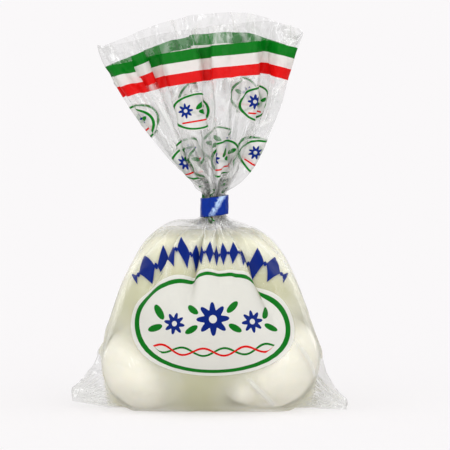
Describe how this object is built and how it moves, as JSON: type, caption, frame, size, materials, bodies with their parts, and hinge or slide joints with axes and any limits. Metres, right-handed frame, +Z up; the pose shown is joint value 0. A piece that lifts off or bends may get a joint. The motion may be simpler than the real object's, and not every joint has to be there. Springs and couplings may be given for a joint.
{
  "type": "bag of mozzarella in brine",
  "caption": "Clear film bag of fresh mozzarella balls in brine, gathered and closed with a wound tape under a fan of printed film.",
  "frame": {"origin": "on the surface that the bag stands on, below the middle of its bounding box", "axes": "+Z up through the taped neck, -Y out of the printed front, +X to the right as seen from the front"},
  "size_m": [0.18, 0.114, 0.258],
  "materials": {
    "film": "clear glossy film with printed ink",
    "tape": "glossy adhesive tape",
    "brine": "milky whey",
    "cheese": "moist smooth fresh cheese"
  },
  "bodies": {
    "root": {"bag": "film", "tape": "tape"}
  },
  "joints": []
}
